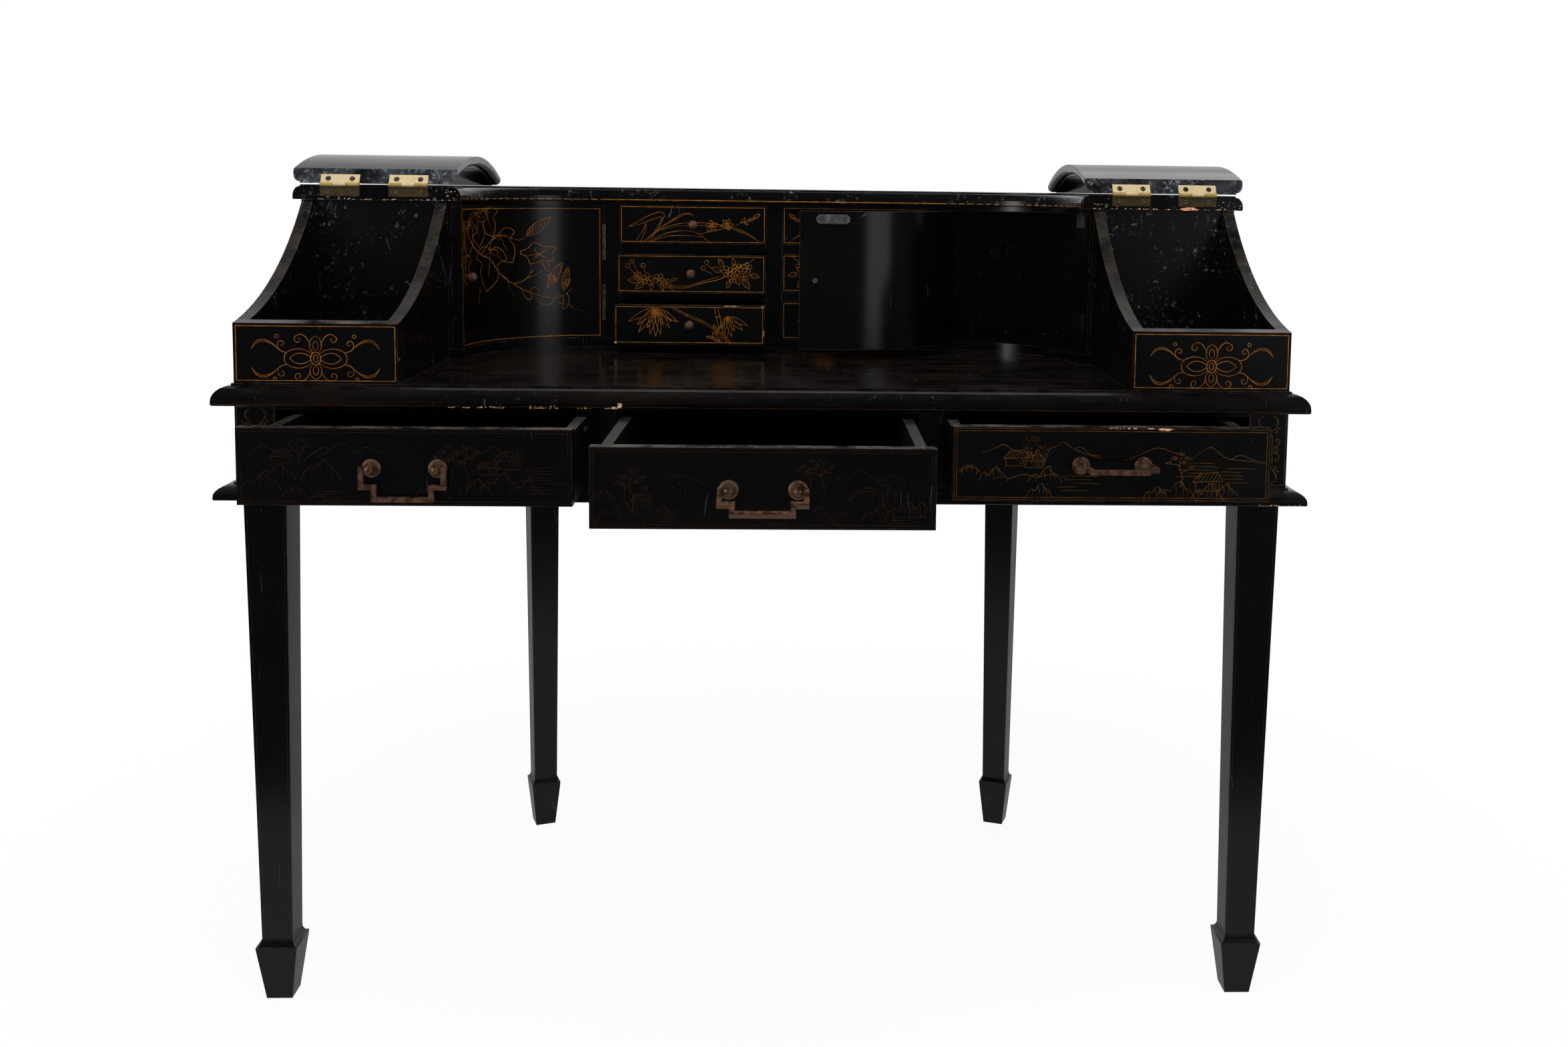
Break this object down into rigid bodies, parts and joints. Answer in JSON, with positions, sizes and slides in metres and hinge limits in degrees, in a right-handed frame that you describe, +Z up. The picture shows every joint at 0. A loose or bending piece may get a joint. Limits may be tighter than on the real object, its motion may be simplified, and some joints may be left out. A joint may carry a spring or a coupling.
{
  "type": "carlton house desk",
  "caption": "D-shaped black-lacquered writing desk on tapered legs with frieze drawers, a raised gallery of small drawers, concave cupboard doors and sloping bins under hinged lids.",
  "frame": {"origin": "centre of the bounding box's base at rest, on the floor", "axes": "+X to the desk's right as the sitter sees it, +Y from the sitter to the back, +Z up"},
  "size_m": [1.312, 0.9088, 1.0523],
  "materials": {
    "black_lacquer": "worn black lacquer with gilt line ornament, polished",
    "drawer_wood": "old plain wood, unpolished",
    "hinge_brass": "worn brass",
    "pull_brass": "dark patinated brass, rubbed bright on the edges",
    "knob_brass": "dull patinated brass",
    "plated_steel": "dull plated steel"
  },
  "bodies": {
    "carcase": {"desk_top": "black_lacquer", "base_moulding": "black_lacquer", "front_leg_left": "black_lacquer", "front_leg_right": "black_lacquer", "rear_leg_left": "black_lacquer", "rear_leg_right": "black_lacquer", "frieze_sides": "black_lacquer", "frieze_back": "black_lacquer", "front_rails": "black_lacquer", "drawer_dividers": "black_lacquer", "drawer_runners": "drawer_wood", "gallery_floor": "black_lacquer", "gallery_top": "black_lacquer", "gallery_back": "black_lacquer", "bin_outer_walls": "black_lacquer", "bin_inner_walls": "black_lacquer", "bin_fronts": "black_lacquer", "bin_backs": "black_lacquer", "gallery_uprights": "black_lacquer", "gallery_shelves": "black_lacquer", "door_frames": "black_lacquer", "lid_hinge_board_leaves": "hinge_brass", "door_hinge_upright_leaves": "hinge_brass", "door_catches": "plated_steel"},
    "lid_left": {"lid_left": "black_lacquer", "lid_hinge_leaves_left": "hinge_brass"},
    "lid_right": {"lid_right": "black_lacquer", "lid_hinge_leaves_right": "hinge_brass"},
    "door_left": {"door_left": "black_lacquer", "door_knob_left": "knob_brass", "door_hinge_leaves_left": "hinge_brass", "strike_plate_left": "plated_steel"},
    "door_right": {"door_right": "black_lacquer", "door_knob_right": "knob_brass", "door_hinge_leaves_right": "hinge_brass", "strike_plate_right": "plated_steel"},
    "frieze_drawer_left": {"drawer_front_left": "black_lacquer", "drawer_box_left": "drawer_wood", "pull_posts_left": "pull_brass"},
    "frieze_drawer_centre": {"drawer_front_centre": "black_lacquer", "drawer_box_centre": "drawer_wood", "pull_posts_centre": "pull_brass"},
    "frieze_drawer_right": {"drawer_front_right": "black_lacquer", "drawer_box_right": "drawer_wood", "pull_posts_right": "pull_brass"},
    "bail_left": {"pull_bail_left": "pull_brass"},
    "bail_centre": {"pull_bail_centre": "pull_brass"},
    "bail_right": {"pull_bail_right": "pull_brass"},
    "small_drawer_left_top": {"small_drawer_left_top": "black_lacquer", "small_knob_left_top": "knob_brass"},
    "small_drawer_left_middle": {"small_drawer_left_middle": "black_lacquer", "small_knob_left_middle": "knob_brass"},
    "small_drawer_left_bottom": {"small_drawer_left_bottom": "black_lacquer", "small_knob_left_bottom": "knob_brass"},
    "small_drawer_right_top": {"small_drawer_right_top": "black_lacquer", "small_knob_right_top": "knob_brass"},
    "small_drawer_right_middle": {"small_drawer_right_middle": "black_lacquer", "small_knob_right_middle": "knob_brass"},
    "small_drawer_right_bottom": {"small_drawer_right_bottom": "black_lacquer", "small_knob_right_bottom": "knob_brass"}
  },
  "joints": [
    {"name": "drawer_slide_left", "type": "slide", "parent": "carcase", "child": "frieze_drawer_left", "axis": [0, -1, 0], "range_m": [-0.136, 0.195]},
    {"name": "drawer_slide_centre", "type": "slide", "parent": "carcase", "child": "frieze_drawer_centre", "axis": [0, -1, 0], "range_m": [-0.245, 0.105]},
    {"name": "drawer_slide_right", "type": "slide", "parent": "carcase", "child": "frieze_drawer_right", "axis": [0, -1, 0], "range_m": [-0.092, 0.235]},
    {"name": "small_drawer_slide_left_top", "type": "slide", "parent": "carcase", "child": "small_drawer_left_top", "axis": [0, -1, 0], "range_m": [-0.012, 0.103]},
    {"name": "small_drawer_slide_left_middle", "type": "slide", "parent": "carcase", "child": "small_drawer_left_middle", "axis": [0, -1, 0], "range_m": [-0.045, 0.07]},
    {"name": "small_drawer_slide_left_bottom", "type": "slide", "parent": "carcase", "child": "small_drawer_left_bottom", "axis": [0, -1, 0], "range_m": [-0.085, 0.03]},
    {"name": "small_drawer_slide_right_top", "type": "slide", "parent": "carcase", "child": "small_drawer_right_top", "axis": [0, -1, 0], "range_m": [0, 0.05]},
    {"name": "small_drawer_slide_right_middle", "type": "slide", "parent": "carcase", "child": "small_drawer_right_middle", "axis": [0, -1, 0], "range_m": [0, 0.05]},
    {"name": "small_drawer_slide_right_bottom", "type": "slide", "parent": "carcase", "child": "small_drawer_right_bottom", "axis": [0, -1, 0], "range_m": [0, 0.05]},
    {"name": "lid_hinge_left", "type": "hinge", "parent": "carcase", "child": "lid_left", "pos_m": [-0.538, 0.09886, 1.0106], "axis": [1, 0, 0], "range_deg": [0, 209.2]},
    {"name": "lid_hinge_right", "type": "hinge", "parent": "carcase", "child": "lid_right", "pos_m": [0.538, 0.09886, 1.0106], "axis": [1, 0, 0], "range_deg": [0, 209.2]},
    {"name": "door_hinge_left", "type": "hinge", "parent": "carcase", "child": "door_left", "pos_m": [-0.2505, 0.27236, 0.88525], "axis": [0, 0, -1], "range_deg": [-85, 0]},
    {"name": "door_hinge_right", "type": "hinge", "parent": "carcase", "child": "door_right", "pos_m": [0.2505, 0.27236, 0.88525], "axis": [0, 0, 1], "range_deg": [0, 106]},
    {"name": "bail_hinge_left", "type": "hinge", "parent": "frieze_drawer_left", "child": "bail_left", "pos_m": [-0.40075, -0.31364, 0.6991], "axis": [-1, 0, 0], "range_deg": [0, 150]},
    {"name": "bail_hinge_centre", "type": "hinge", "parent": "frieze_drawer_centre", "child": "bail_centre", "pos_m": [0, -0.42264, 0.6991], "axis": [-1, 0, 0], "range_deg": [-57, 93]},
    {"name": "bail_hinge_right", "type": "hinge", "parent": "frieze_drawer_right", "child": "bail_right", "pos_m": [0.40075, -0.26964, 0.6991], "axis": [-1, 0, 0], "range_deg": [-90, 60]}
  ]
}
